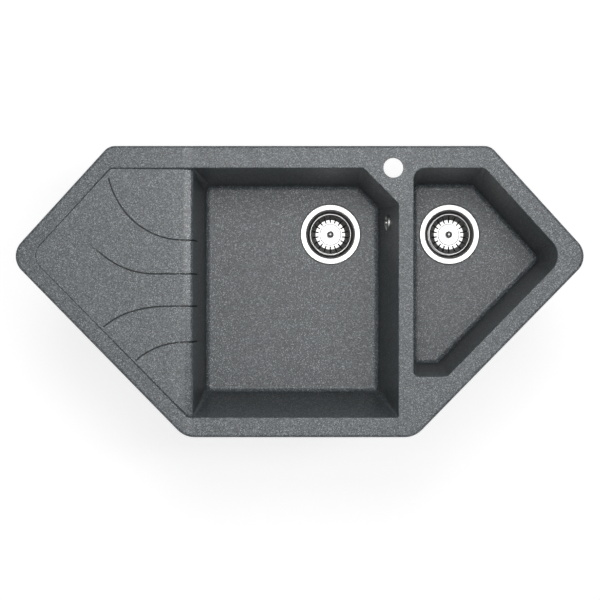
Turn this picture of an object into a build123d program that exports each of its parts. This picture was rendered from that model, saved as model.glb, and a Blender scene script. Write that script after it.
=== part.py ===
from build123d import *
import os
from math import atan2, cos, hypot, sin, sqrt

# Corner kitchen sink with a drainer, a main bowl and a half bowl, its two basket strainer wastes,
# its overflow, its fixing clips and the pipework that joins both wastes to one bottle trap.
# Millimetres. Z = 0 is the worktop surface, +Z up, +Y towards the tap ledge, +X towards the half bowl.

os.makedirs("parts", exist_ok=True)

# ---------------------------------------------------------------- driving sizes: rim and drainer
TIP_X = 513.6                # the two pointed ends, before rounding
TIP_Y = 61.6
BACK_X = 336.0               # back corners, before rounding
BACK_Y = 256.6
FRONT_X = 202.5              # front corners, before rounding
FRONT_Y = -256.6
BACK_CORNER_R = 25.0
TIP_CORNER_R = 36.0
FRONT_CORNER_R = 42.0
SEAL_T = 1.5                 # sealing tape between the rim and the worktop
SEAL_W = 8.0
SEAL_INSET = 2.0
RIM_T = 8.5
RIM_EDGE_R = 5.0
LIP_R = 2.0                  # rounded edge of every opening in the rim
WALL = 8.0

BACK_LEDGE = 39.6            # rim width behind the bowls
FRONT_LEDGE = 35.6           # rim width in front of the main bowl
DRAINER_LEDGE = 28.7         # rim width round the drainer
HALF_LEDGE = 34.5            # rim width round the half bowl's slanted sides

DRAINER_DEPTH_TIP = 2.4      # drainer floor below the rim at its far end
DRAINER_DEPTH_BOWL = 8.0     # and where it runs into the bowl
DRAINER_TIP_R = 27.0
DRAINER_CORNER_R = 8.0
DRAINER_SLAB_T = 9.0
DRAINER_LEAN = 15.0          # draft of its side walls, in degrees
EASE_RUN = 24.0              # the drainer floor dips over this length before the bowl
EASE_DROP = 5.0
EASE_R = 105.0               # rounding where it starts to dip
BOWL_ROLL_R = 6.5            # rounded edge from the dip into the bowl
GUSSET = 6.0                 # thickening in the corner under the rounded edge

# Drainer grooves: (Y at the bowl, straight run from the bowl edge, first radius and turn, second radius
# and turn), each turn towards the back (+1) or the front (-1)
GROOVES = (
    (90.8, 16.5, 131.0, 50.0, 152.0, 27.0, 1),
    (31.2, 67.5, 140.0, 36.0, 326.0, 15.5, 1),
    (-25.7, 44.0, 220.0, 17.0, 132.0, 24.5, -1),
    (-88.9, 13.0, 135.0, 29.0, 113.0, 14.0, -1),
)
GROOVE_W = 2.8
GROOVE_DEPTH = 3.0           # at the bowl edge
GROOVE_FADE = 235.0          # distance from the bowl edge at which a groove runs out
GROOVE_DROP = 95.0           # how far below the rim a groove runs out in the bowl's wall

# ---------------------------------------------------------------- driving sizes: bowls
BOWL_DEPTH = 190.0
BOWL_FLOOR_R = 10.0
MAIN_LEFT = -188.5
MAIN_RIGHT = 173.5
MAIN_CHAMFER = 62.0          # leg of the cut corner beside the tap hole, at the rim
MAIN_CHAMFER_FLOOR = 38.0
MAIN_SLOPES = (36.0, 27.0, 19.6, 13.7)     # how far the front, right, back and left walls come in
MAIN_RIM_RADII = (3.0, 8.0, 8.0, 1.8, 1.8)
MAIN_FLOOR_R = 14.0

DIVIDER = 27.5               # rim width between the bowls
HALF_FRONT_Y = -149.0
HALF_SLOPES = (16.0, 13.0, 13.0, 16.0, 10.0)  # front, lower slant, upper slant, back and left walls
HALF_RIM_RADII = (13.0, 35.0, 13.0, 20.0, 9.0)
HALF_FLOOR_R = 16.0

TAP_HOLE_R = 17.5
TAP_EDGE = 38.7              # tap hole axis to the back edge
TAP_TO_HALF = 36.1           # tap hole axis to the half bowl's left edge

# ---------------------------------------------------------------- driving sizes: basket wastes
WASTE_1_X = 57.6
WASTE_2_X = 280.0
WASTE_Y = 108.0
BODY_R = 49.0
BODY_WALL = 3.0
SHEET = 1.2                  # sheet steel of the strainer cup
CUP_GAP = 1.8                # all round between the strainer cup and the plastic waste body
THROAT_R = BODY_R - BODY_WALL - CUP_GAP - SHEET
CUP_DEPTH = 30.0
CUP_FLOOR_R = THROAT_R - 4.5
WASTE_HOLE_R = THROAT_R + SHEET + 0.8
FLANGE_W = 13.5              # width of the strainer cup's flange
FLANGE_R = THROAT_R + FLANGE_W
FLANGE_T = 2.4
FLANGE_SEAL_T = 1.0
WASTE_SEAT_R = FLANGE_R + 1.5    # shallow recess in the bowl floor that takes the flange
WASTE_SEAT_DEPTH = 2.5
CUP_HOLES = 8
CUP_HOLE_R = 4.5
CUP_HOLE_RING = 20.0
BODY_GASKET_T = 3.0
BODY_FLANGE_R = BODY_R + 4.0
BODY_FLANGE_T = 4.0
BODY_DEPTH = 51.0            # bowl floor to the start of the cone
CONE_DEPTH = 14.0
STUB_R = 23.9                # thread of the outlet stub
STUB_BORE_R = 19.0
STUB_LENGTH = 23.0
BOSS_R = 7.0
BOSS_TOP = 37.0              # depth of the screw boss below the bowl floor
BOSS_LENGTH = 24.0
SPOKE_T = 3.0
SCREW_R = 3.0
SCREW_HEAD_R = 6.5
SCREW_HEAD_T = 3.0
SCREW_LENGTH = 29.0
FIT = 0.15                   # radial clearance of pins, threads and sleeves
LOOSE = 0.3                  # clearance of moving pieces

BASKET_RIM_R = THROAT_R - 4.5
BASKET_RIM_DROP = 2.0        # basket rim below the bowl floor
BASKET_BASE_DROP = 20.0      # top of the basket base below the bowl floor
BASKET_SLOPE_W = 10.7        # width of the basket's sloping side
BASKET_BASE_R = BASKET_RIM_R - BASKET_SLOPE_W
BASKET_SHEET = 1.0
SLOTS = 18
SLOT_W = 2.6
SLOT_INNER_R = BASKET_BASE_R - 5.8
SLOT_OUTER_R = BASKET_RIM_R - 3.3
CAP_R = SLOT_INNER_R - 2.2
CAP_T = 1.6
STEM_R = 2.2
KNOB_R = 6.3
KNOB_RISE = 10.5             # knob centre above the basket base
STOPPER_R = BASKET_RIM_R - 7.5
STOPPER_TOP_R = 22.0
STOPPER_LIP_T = 1.2
STOPPER_CORE_T = 3.5         # rubber between the basket base and the fixing nut
BASKET_NUT_R = 4.0
BASKET_NUT_T = 2.0

# ---------------------------------------------------------------- driving sizes: overflow
OVERFLOW_Y = 125.0
OVERFLOW_DROP = 95.0         # overflow axis below the rim
OVERFLOW_HOLE_R = 12.5
COVER_R = 14.5
COVER_T = 4.0
COVER_SLOTS = 6
OVERFLOW_SEAL_T = 2.0
OVERFLOW_BODY_R = 18.0
OVERFLOW_BODY_T = 21.0
OVERFLOW_WALL = 2.5
OVERFLOW_PIPE_R = 10.0
OVERFLOW_PIPE_WALL = 1.6
OVERFLOW_SPIGOT = 32.0       # overflow axis to the end of its spigot
OVERFLOW_BEND_R = 30.0
PORT_RISE = 9.0              # axis of the waste body's side port above the start of the cone
PORT_DROP = BODY_DEPTH - PORT_RISE
PORT_REACH = 70.0            # waste axis to the end of the port
PORT_CLEAR = 20.0            # the port's bore starts this far from the screw boss
OVERFLOW_SCREW_R = 2.4

# ---------------------------------------------------------------- driving sizes: pipework
PIPE_R = 20.0
PIPE_WALL = 2.5
SOCKET_R = 24.0              # threaded outside of a socket
WASHER_T = 2.5
COLLAR_R = 23.4
COLLAR_T = 4.0
NUT_R = 31.0
NUT_LENGTH = 27.0
NUT_LIP = 3.2
NUT_RIBS = 12
BRANCH_DROP = 42.0           # tee top to the branch axis
BRANCH_REACH = 48.0          # tee axis to the end of the branch socket
SOCKET_DEPTH = 22.0
TEE_TAIL = 62.0              # branch axis to the tee's lower end
LINK_BEND_R = 38.0
TRAP_R = 36.0
TRAP_WALL = 3.0
TRAP_NECK = 26.0
TRAP_LENGTH = 92.0
TRAP_OUTLET_DROP = 22.0      # trap shoulder to the outlet axis
TRAP_OUTLET_REACH = 62.0
TRAP_CUP_R = 40.0
TRAP_CUP_LENGTH = 34.0
TRAP_CUP_OVERLAP = 20.0
TRAP_SEAL_T = 2.5
OUTLET_END_Y = 250.0
OUTLET_BEAD_R = 22.0         # stop bead on the outlet pipe, just outside its nut
OUTLET_BEAD_T = 3.0

# ---------------------------------------------------------------- driving sizes: fixing clips
CLIPS_PER_EDGE = (1, 3, 1, 2, 2, 2)
WORKTOP_T = 38.0
CLIP_AXIS = 17.0             # rim edge to the clip screw
LUG_W = 20.0
LUG_FROM = 13.0              # rim edge to the lug's outer face
LUG_TO = 27.0
LUG_DROP = 14.0
INSERT_R = 4.5
INSERT_LENGTH = 11.0
CLIP_SCREW_R = 2.5
CLIP_HEAD_R = 4.6
CLIP_HEAD_T = 3.6
JAW_W = 18.0
JAW_T = 2.0
JAW_TOE = 4.0                # rim edge to the jaw's toe
JAW_HEEL = 24.0              # rim edge to the back of the jaw's heel
JAW_LIP = 4.0                # height of the toe's turned-up lip

# ---------------------------------------------------------------- levels
RIM_BASE_Z = SEAL_T
RIM_TOP_Z = SEAL_T + RIM_T
FLOOR_Z = RIM_TOP_Z - BOWL_DEPTH
FLOOR_UNDER_Z = FLOOR_Z - WALL


# ---------------------------------------------------------------- plan geometry
# A straight edge is (nx, ny, d): its outward unit normal and its distance from the origin.
def edge_through(start, end):
    along_x = end[0] - start[0]
    along_y = end[1] - start[1]
    length = hypot(along_x, along_y)
    nx = along_y / length
    ny = -along_x / length
    return (nx, ny, nx * start[0] + ny * start[1])


def inset(edge, amount):
    return (edge[0], edge[1], edge[2] - amount)


def meet(a, b):
    det = a[0] * b[1] - a[1] * b[0]
    return ((a[2] * b[1] - b[2] * a[1]) / det, (a[0] * b[2] - b[0] * a[2]) / det)


def corners_of(edges):
    """Corner i lies where edge i meets the edge after it."""
    return [meet(edge, edges[(i + 1) % len(edges)]) for i, edge in enumerate(edges)]


RIM_CORNERS = (
    (TIP_X, TIP_Y),
    (BACK_X, BACK_Y),
    (-BACK_X, BACK_Y),
    (-TIP_X, TIP_Y),
    (-FRONT_X, FRONT_Y),
    (FRONT_X, FRONT_Y),
)
RIM_RADII = (TIP_CORNER_R, BACK_CORNER_R, BACK_CORNER_R, TIP_CORNER_R, FRONT_CORNER_R, FRONT_CORNER_R)
RIM_EDGES = [edge_through(c, RIM_CORNERS[(i + 1) % 6]) for i, c in enumerate(RIM_CORNERS)]
UPPER_RIGHT, BACK, UPPER_LEFT, LOWER_LEFT, FRONT, LOWER_RIGHT = RIM_EDGES

BOWL_BACK = inset(BACK, BACK_LEDGE)
BOWL_FRONT = inset(FRONT, FRONT_LEDGE)
SLANT = sqrt(0.5)
HALF_LEFT = MAIN_RIGHT + DIVIDER


def slope_share(z):
    """0 where the bowl walls leave the rim, 1 at the bowl floor, and in line beyond both."""
    return (RIM_BASE_Z - z) / (RIM_BASE_Z - FLOOR_Z)


def main_corners(z, grow=0.0):
    """Main bowl's corners at a height: front-right, lower and upper cut corner, back-left, front-left."""
    share = slope_share(z)
    front, right, back, left = (slope * share - grow for slope in MAIN_SLOPES)
    chamfer = MAIN_CHAMFER + (MAIN_CHAMFER_FLOOR - MAIN_CHAMFER) * share
    x_right = MAIN_RIGHT - right
    y_back = BOWL_BACK[2] - back
    x_left = MAIN_LEFT + left
    cut_leg = chamfer + grow * (2.0 - 1.0 / SLANT)
    edges = (
        inset(BOWL_FRONT, front),
        (1.0, 0.0, x_right),
        (SLANT, SLANT, (x_right + y_back - cut_leg) * SLANT),
        inset(BOWL_BACK, back),
        (-1.0, 0.0, -x_left),
    )
    return corners_of(edges)


def half_corners(z, grow=0.0):
    """Half bowl's corners at a height: lower right, tip, upper right, back-left, front-left."""
    share = slope_share(z)
    front, lower, upper, back, left = (slope * share - grow for slope in HALF_SLOPES)
    edges = (
        (0.0, -1.0, -(HALF_FRONT_Y + front)),
        inset(LOWER_RIGHT, HALF_LEDGE + lower),
        inset(UPPER_RIGHT, HALF_LEDGE + upper),
        inset(BOWL_BACK, back),
        (-1.0, 0.0, -(HALF_LEFT + left)),
    )
    return corners_of(edges)


def radii_at(z, rim_radii, floor_radius, grow=0.0):
    share = min(max(slope_share(z), 0.0), 1.0)
    return [r + (floor_radius - r) * share + grow for r in rim_radii]


def rounded(corners, radii, plane):
    """A flat face with rounded corners; corner i has radius i."""
    with BuildSketch(plane) as face:
        with BuildLine():
            FilletPolyline(*corners, radius=list(radii), close=True)
        make_face()
    return face.sketch


def tapered(corners_at, rim_radii, floor_radius, top_z, bottom_z, grow, floor_fillet):
    """A bowl's solid between two heights, its walls in line with the bowl's and its floor edge rounded."""
    with BuildPart() as solid:
        for z in (top_z, bottom_z):
            add(rounded(corners_at(z, grow), radii_at(z, rim_radii, floor_radius, grow), Plane.XY.offset(z)))
        loft(ruled=True)
        floor_edges = solid.edges().filter_by_position(Axis.Z, bottom_z - FIT, bottom_z + FIT)
        fillet(floor_edges, floor_fillet)
    return solid.part


def side_plane(x, y, z):
    """Upright sketch plane whose x is the radius from a vertical axis and whose y is the height above z."""
    return Plane(origin=(x, y, z), x_dir=(1, 0, 0), z_dir=(0, -1, 0))


def turned(points, x, y, z):
    """A turned solid from (radius, height) points about the vertical axis through x, y."""
    with BuildPart() as solid:
        with BuildSketch(side_plane(x, y, z)):
            with BuildLine():
                Polyline(*points, close=True)
            make_face()
        revolve(axis=Axis((x, y, z), (0, 0, 1)))
    return solid.part


def finish(part, name):
    part.label = name
    export_step(part, f"parts/{name}.step")


# ---------------------------------------------------------------- drainer levels and openings
DRAINER_TIP_X = meet(inset(UPPER_LEFT, DRAINER_LEDGE), inset(LOWER_LEFT, DRAINER_LEDGE))[0]
DRAINER_RUN = MAIN_LEFT - DRAINER_TIP_X
DRAINER_RISE = (DRAINER_DEPTH_BOWL - DRAINER_DEPTH_TIP) / DRAINER_RUN
DRAINER_OVERRUN = 14.0       # how far the drainer's cut reaches over the bowl
OVERRUN_R = 9.0


def drainer_floor_z(x):
    return RIM_TOP_Z - DRAINER_DEPTH_BOWL + DRAINER_RISE * (MAIN_LEFT - x)


def drainer_corners(grow=0.0):
    edges = (
        inset(BOWL_FRONT, -grow),
        (1.0, 0.0, MAIN_LEFT + DRAINER_OVERRUN),
        inset(BOWL_BACK, -grow),
        inset(UPPER_LEFT, DRAINER_LEDGE - grow),
        inset(LOWER_LEFT, DRAINER_LEDGE - grow),
    )
    return corners_of(edges)


def drainer_face(plane, grow=0.0):
    radii = (OVERRUN_R, OVERRUN_R, DRAINER_CORNER_R + grow, DRAINER_TIP_R + grow, DRAINER_CORNER_R + grow)
    return rounded(drainer_corners(grow), radii, plane)


# ---------------------------------------------------------------- sink body
# Rim: the flat deck with its three openings, all their edges rounded.
with BuildPart() as rim:
    with BuildSketch(Plane.XY.offset(RIM_BASE_Z)):
        with BuildLine():
            FilletPolyline(*RIM_CORNERS, radius=list(RIM_RADII), close=True)
        make_face()
        add(drainer_face(Plane.XY), mode=Mode.SUBTRACT)
        add(rounded(main_corners(RIM_BASE_Z), MAIN_RIM_RADII, Plane.XY), mode=Mode.SUBTRACT)
        add(rounded(half_corners(RIM_BASE_Z), HALF_RIM_RADII, Plane.XY), mode=Mode.SUBTRACT)
    extrude(amount=RIM_T)
    fillet(rim.faces().sort_by(Axis.Z)[-1].outer_wire().edges(), RIM_EDGE_R)
    lips = ShapeList(e for w in rim.faces().sort_by(Axis.Z)[-1].inner_wires() for e in w.edges())
    fillet(lips, LIP_R)

# Drainer: a sloping floor that ends in the rounded edge over the bowl, between leaning side walls.
WALL_RATE = MAIN_SLOPES[3] / (RIM_BASE_Z - FLOOR_Z)
ROLL_FOOT_Z = RIM_BASE_Z - EASE_DROP - BOWL_ROLL_R
LEAN_TOP_Z = RIM_TOP_Z - LIP_R - FIT


def over_the_edge(far_x, foot_z, depth):
    """Side view, height upwards, of what is cut away above the drainer and down the bowl's left wall to
    foot_z: depth deeper at the dip and the rounded edge than at far_x and foot_z."""
    edge = (MAIN_LEFT - depth, drainer_floor_z(MAIN_LEFT) - EASE_DROP - depth)
    dip = (MAIN_LEFT - EASE_RUN, drainer_floor_z(MAIN_LEFT - EASE_RUN) - depth)
    clear_x = MAIN_LEFT + DRAINER_OVERRUN
    clear_z = 2.0 * RIM_TOP_Z
    with BuildSketch() as side:
        with BuildLine():
            Polyline(
                edge,
                dip,
                (far_x, drainer_floor_z(far_x)),
                (far_x, clear_z),
                (clear_x, clear_z),
                (clear_x, foot_z),
                (MAIN_LEFT + WALL_RATE * (RIM_BASE_Z - foot_z), foot_z),
                close=True,
            )
        make_face()
        fillet(side.vertices().sort_by_distance((*edge, 0))[0], BOWL_ROLL_R)
        fillet(side.vertices().sort_by_distance((*dip, 0))[0], EASE_R)
    return side.sketch


with BuildPart() as drainer_cut:
    with BuildSketch(Plane.XY.offset(LEAN_TOP_Z)):
        add(drainer_face(Plane.XY))
    extrude(amount=ROLL_FOOT_Z - LEAN_TOP_Z, taper=DRAINER_LEAN)
    with BuildSketch(Plane.XZ):
        add(over_the_edge(-TIP_X, ROLL_FOOT_Z, 0.0))
    extrude(amount=BACK_Y, both=True, mode=Mode.INTERSECT)

# Grooves: narrow channels that run out towards the far end of the drainer and down the bowl's wall.
with BuildPart() as grooves:
    with BuildSketch(Plane(origin=(MAIN_LEFT, 0, 0), x_dir=(-1, 0, 0), z_dir=(0, 0, -1))):
        for y, run, radius_1, turn_1, radius_2, turn_2, side in GROOVES:
            with BuildLine():
                straight = Line((-DRAINER_OVERRUN, y), (run, y))
                first = JernArc(straight @ 1, straight % 1, radius_1, side * turn_1)
                JernArc(first @ 1, first % 1, radius_2, side * turn_2)
            trace(line_width=GROOVE_W)
    extrude(amount=BOWL_DEPTH, both=True)
    with BuildSketch(Plane.XZ):
        add(over_the_edge(MAIN_LEFT - GROOVE_FADE, RIM_TOP_Z - GROOVE_DROP, GROOVE_DEPTH))
    extrude(amount=BACK_Y, both=True, mode=Mode.INTERSECT)


# Bowls: the hollow of each and the shell round it.
SHELL_TOP_Z = RIM_BASE_Z + RIM_T / 3.0
main_hollow = tapered(
    main_corners, MAIN_RIM_RADII, MAIN_FLOOR_R, RIM_BASE_Z, FLOOR_Z, 0.0, BOWL_FLOOR_R)
half_hollow = tapered(
    half_corners, HALF_RIM_RADII, HALF_FLOOR_R, RIM_BASE_Z, FLOOR_Z, 0.0, BOWL_FLOOR_R)
main_shell = tapered(
    main_corners, MAIN_RIM_RADII, MAIN_FLOOR_R, SHELL_TOP_Z, FLOOR_UNDER_Z, WALL, BOWL_FLOOR_R + WALL)
half_shell = tapered(
    half_corners, HALF_RIM_RADII, HALF_FLOOR_R, SHELL_TOP_Z, FLOOR_UNDER_Z, WALL, BOWL_FLOOR_R + WALL)

# Places of the wastes, the tap hole, the overflow and the clips
WASTES = ((1, WASTE_1_X), (2, WASTE_2_X))
TAP_X = HALF_LEFT - TAP_TO_HALF
TAP_Y = BACK_Y - TAP_EDGE

OVERFLOW_Z = RIM_TOP_Z - OVERFLOW_DROP
RIGHT_LEAN = atan2(MAIN_SLOPES[1], RIM_BASE_Z - FLOOR_Z)
OVERFLOW_X = MAIN_RIGHT - MAIN_SLOPES[1] * slope_share(OVERFLOW_Z)
WALL_ACROSS = WALL * cos(RIGHT_LEAN)
# Inner face of the bowl's right wall at the overflow, its z pointing out of the bowl
overflow_plane = Plane(
    origin=(OVERFLOW_X, OVERFLOW_Y, OVERFLOW_Z),
    x_dir=(0, 1, 0),
    z_dir=(cos(RIGHT_LEAN), 0, -sin(RIGHT_LEAN)),
)


def clip_planes():
    """One plane per clip at worktop level: x along the rim edge, y inwards from it."""
    planes = []
    for i, count in enumerate(CLIPS_PER_EDGE):
        start = RIM_CORNERS[i]
        end = RIM_CORNERS[(i + 1) % len(RIM_CORNERS)]
        for k in range(count):
            share = (k + 0.5) / count
            x = start[0] + (end[0] - start[0]) * share
            y = start[1] + (end[1] - start[1]) * share
            planes.append(Plane(origin=(x, y, 0), x_dir=(end[0] - start[0], end[1] - start[1], 0)))
    return planes


CLIP_SPOTS = clip_planes()
SLAB_UNDER_Z = drainer_floor_z(MAIN_LEFT) - DRAINER_SLAB_T

with BuildPart() as sink_body:
    with BuildSketch(Plane.XY.offset(SLAB_UNDER_Z)):
        add(drainer_face(Plane.XY, WALL))
    extrude(amount=LEAN_TOP_Z - SLAB_UNDER_Z)
    with BuildSketch(Plane.XZ.offset(-BOWL_BACK[2])):
        with BuildLine():
            Polyline(
                (MAIN_LEFT - WALL / 2.0, SLAB_UNDER_Z),
                (MAIN_LEFT - WALL - GUSSET, SLAB_UNDER_Z),
                (MAIN_LEFT - WALL, SLAB_UNDER_Z - GUSSET),
                (MAIN_LEFT - WALL / 2.0, SLAB_UNDER_Z - GUSSET),
                close=True,
            )
        make_face()
    extrude(amount=BOWL_BACK[2] + BOWL_FRONT[2])
    add(main_shell)
    add(half_shell)
    add(drainer_cut.part, mode=Mode.SUBTRACT)
    add(grooves.part, mode=Mode.SUBTRACT)
    add(main_hollow, mode=Mode.SUBTRACT)
    add(half_hollow, mode=Mode.SUBTRACT)
    for corners, radii in (
        (main_corners(RIM_BASE_Z), MAIN_RIM_RADII),
        (half_corners(RIM_BASE_Z), HALF_RIM_RADII),
    ):
        with BuildSketch(Plane.XY.offset(RIM_BASE_Z)):
            add(rounded(corners, radii, Plane.XY))
        extrude(amount=RIM_T, mode=Mode.SUBTRACT)
    add(rim.part)
    for spot in CLIP_SPOTS:
        with BuildSketch(spot.offset(RIM_BASE_Z)):
            with Locations((0, (LUG_FROM + LUG_TO) / 2.0)):
                Rectangle(LUG_W, LUG_TO - LUG_FROM)
        extrude(amount=-LUG_DROP)
        with BuildSketch(spot.offset(RIM_BASE_Z - LUG_DROP)):
            with Locations((0, CLIP_AXIS)):
                Circle(INSERT_R)
        extrude(amount=INSERT_LENGTH, mode=Mode.SUBTRACT)
    with BuildSketch(Plane.XY.offset(RIM_TOP_Z)):
        with Locations((TAP_X, TAP_Y)):
            Circle(TAP_HOLE_R)
    extrude(amount=-RIM_T, mode=Mode.SUBTRACT)
    for number, waste_x in WASTES:
        for depth, radius in ((WASTE_SEAT_DEPTH, WASTE_SEAT_R), (WALL, WASTE_HOLE_R)):
            with BuildSketch(Plane.XY.offset(FLOOR_Z)):
                with Locations((waste_x, WASTE_Y)):
                    Circle(radius)
            extrude(amount=-depth, mode=Mode.SUBTRACT)
    with BuildSketch(overflow_plane.offset(-WALL)):
        Circle(OVERFLOW_HOLE_R)
    extrude(amount=3.0 * WALL, mode=Mode.SUBTRACT)
finish(sink_body.part, "sink_body")

# ---------------------------------------------------------------- rim seal
with BuildPart() as rim_seal:
    with BuildSketch():
        for gap, mode in ((SEAL_INSET, Mode.ADD), (SEAL_INSET + SEAL_W, Mode.SUBTRACT)):
            seal_corners = corners_of([inset(e, gap) for e in RIM_EDGES[-1:] + RIM_EDGES[:-1]])
            add(rounded(seal_corners, [r - gap for r in RIM_RADII], Plane.XY), mode=mode)
    extrude(amount=SEAL_T)
finish(rim_seal.part, "rim_seal")

# ---------------------------------------------------------------- fixing clips
LUG_FOOT_Z = RIM_BASE_Z - LUG_DROP
JAW_Z = -WORKTOP_T - JAW_LIP             # upper face of the jaw's plate
SCREW_TOP_Z = LUG_FOOT_Z + INSERT_LENGTH - 1.0

with BuildPart() as clip_inserts:
    for spot in CLIP_SPOTS:
        with BuildSketch(spot.offset(LUG_FOOT_Z)):
            with Locations((0, CLIP_AXIS)):
                Circle(INSERT_R)
                Circle(CLIP_SCREW_R + FIT, mode=Mode.SUBTRACT)
        extrude(amount=INSERT_LENGTH)
finish(clip_inserts.part, "clip_inserts")

with BuildPart() as clip_screws:
    for spot in CLIP_SPOTS:
        with BuildSketch(spot.offset(JAW_Z - JAW_T)):
            with Locations((0, CLIP_AXIS)):
                Circle(CLIP_SCREW_R)
        extrude(amount=SCREW_TOP_Z - JAW_Z + JAW_T)
        with BuildSketch(spot.offset(JAW_Z - JAW_T)):
            with Locations((0, CLIP_AXIS)):
                RegularPolygon(CLIP_HEAD_R, 6)
        extrude(amount=-CLIP_HEAD_T)
finish(clip_screws.part, "clip_screws")

with BuildPart() as clip_jaws:
    for spot in CLIP_SPOTS:
        with BuildSketch(spot.offset(JAW_Z)):
            with Locations((0, (JAW_TOE + JAW_HEEL) / 2.0)):
                Rectangle(JAW_W, JAW_HEEL - JAW_TOE)
            with Locations((0, CLIP_AXIS)):
                Circle(CLIP_SCREW_R + LOOSE, mode=Mode.SUBTRACT)
        extrude(amount=-JAW_T)
        for reach, height in ((JAW_TOE + JAW_T / 2.0, JAW_LIP), (JAW_HEEL - JAW_T / 2.0, LUG_FOOT_Z - JAW_Z)):
            with BuildSketch(spot.offset(JAW_Z)):
                with Locations((0, reach)):
                    Rectangle(JAW_W, JAW_T)
            extrude(amount=height)
finish(clip_jaws.part, "clip_jaws")

# ---------------------------------------------------------------- basket strainer wastes
# Heights below are measured from the bowl floor.
FLANGE_BASE = FLANGE_SEAL_T - WASTE_SEAT_DEPTH
FLANGE_TOP = FLANGE_BASE + FLANGE_T
THROAT_STEP = 3.0            # width of the flange's dished inner edge
BODY_TOP = -WALL - BODY_GASKET_T
STUB_TOP = -BODY_DEPTH - CONE_DEPTH
STUB_END = STUB_TOP - STUB_LENGTH
BASE_TOP = -BASKET_BASE_DROP
BASE_UNDER = BASE_TOP - BASKET_SHEET
STOPPER_FOOT = -CUP_DEPTH + LOOSE
NUT_TOP = BASE_UNDER - STOPPER_CORE_T
OVERFLOW_AXIS_X = OVERFLOW_X + (WALL_ACROSS + OVERFLOW_SEAL_T + OVERFLOW_BODY_T / 2.0) * cos(RIGHT_LEAN)
PORT_DIRECTION = (OVERFLOW_AXIS_X - WASTE_1_X, OVERFLOW_Y - WASTE_Y, 0)


def make_flange_seal(number, x):
    with BuildPart() as flange_seal:
        with BuildSketch(Plane.XY.offset(FLOOR_Z - WASTE_SEAT_DEPTH)):
            with Locations((x, WASTE_Y)):
                Circle(FLANGE_R - 1.0)
                Circle(WASTE_HOLE_R + 1.0, mode=Mode.SUBTRACT)
        extrude(amount=FLANGE_SEAL_T)
    finish(flange_seal.part, f"flange_seal_{number}")


def make_strainer_cup(number, x):
    wall_top_r = THROAT_R + SHEET
    with BuildPart() as strainer_cup:
        with BuildSketch(side_plane(x, WASTE_Y, FLOOR_Z)) as profile:
            with BuildLine():
                Polyline(
                    (FLANGE_R, FLANGE_BASE),
                    (FLANGE_R, FLANGE_TOP - 1.0),
                    (FLANGE_R - 1.6, FLANGE_TOP),
                    (THROAT_R + THROAT_STEP, FLANGE_TOP - 0.4),
                    (THROAT_R, FLANGE_BASE),
                    (THROAT_R - 1.2, -CUP_DEPTH + 3.0),
                    (CUP_FLOOR_R, -CUP_DEPTH),
                    (SCREW_R + FIT, -CUP_DEPTH),
                    (SCREW_R + FIT, -CUP_DEPTH - SHEET),
                    (CUP_FLOOR_R + 0.5, -CUP_DEPTH - SHEET),
                    (wall_top_r - 1.2, -CUP_DEPTH + 2.6),
                    (wall_top_r, FLANGE_BASE - SHEET),
                    (THROAT_R + THROAT_STEP, FLANGE_BASE),
                    close=True,
                )
            make_face()
            flange_face = profile.vertices().filter_by(lambda v: v.Y > FLANGE_TOP - 1.5)
            fillet(flange_face.filter_by(lambda v: v.X > THROAT_R + 0.5), 0.6)
        revolve(axis=Axis((x, WASTE_Y, FLOOR_Z), (0, 0, 1)))
        with BuildSketch(Plane.XY.offset(FLOOR_Z - CUP_DEPTH)):
            with Locations((x, WASTE_Y)):
                with PolarLocations(CUP_HOLE_RING, CUP_HOLES):
                    Circle(CUP_HOLE_R)
        extrude(amount=-SHEET, mode=Mode.SUBTRACT)
    finish(strainer_cup.part, f"strainer_cup_{number}")


def make_body_gasket(number, x):
    with BuildPart() as body_gasket:
        with BuildSketch(Plane.XY.offset(FLOOR_UNDER_Z)):
            with Locations((x, WASTE_Y)):
                Circle(BODY_FLANGE_R)
                Circle(WASTE_HOLE_R + 1.0, mode=Mode.SUBTRACT)
        extrude(amount=-BODY_GASKET_T)
    finish(body_gasket.part, f"body_gasket_{number}")


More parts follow.
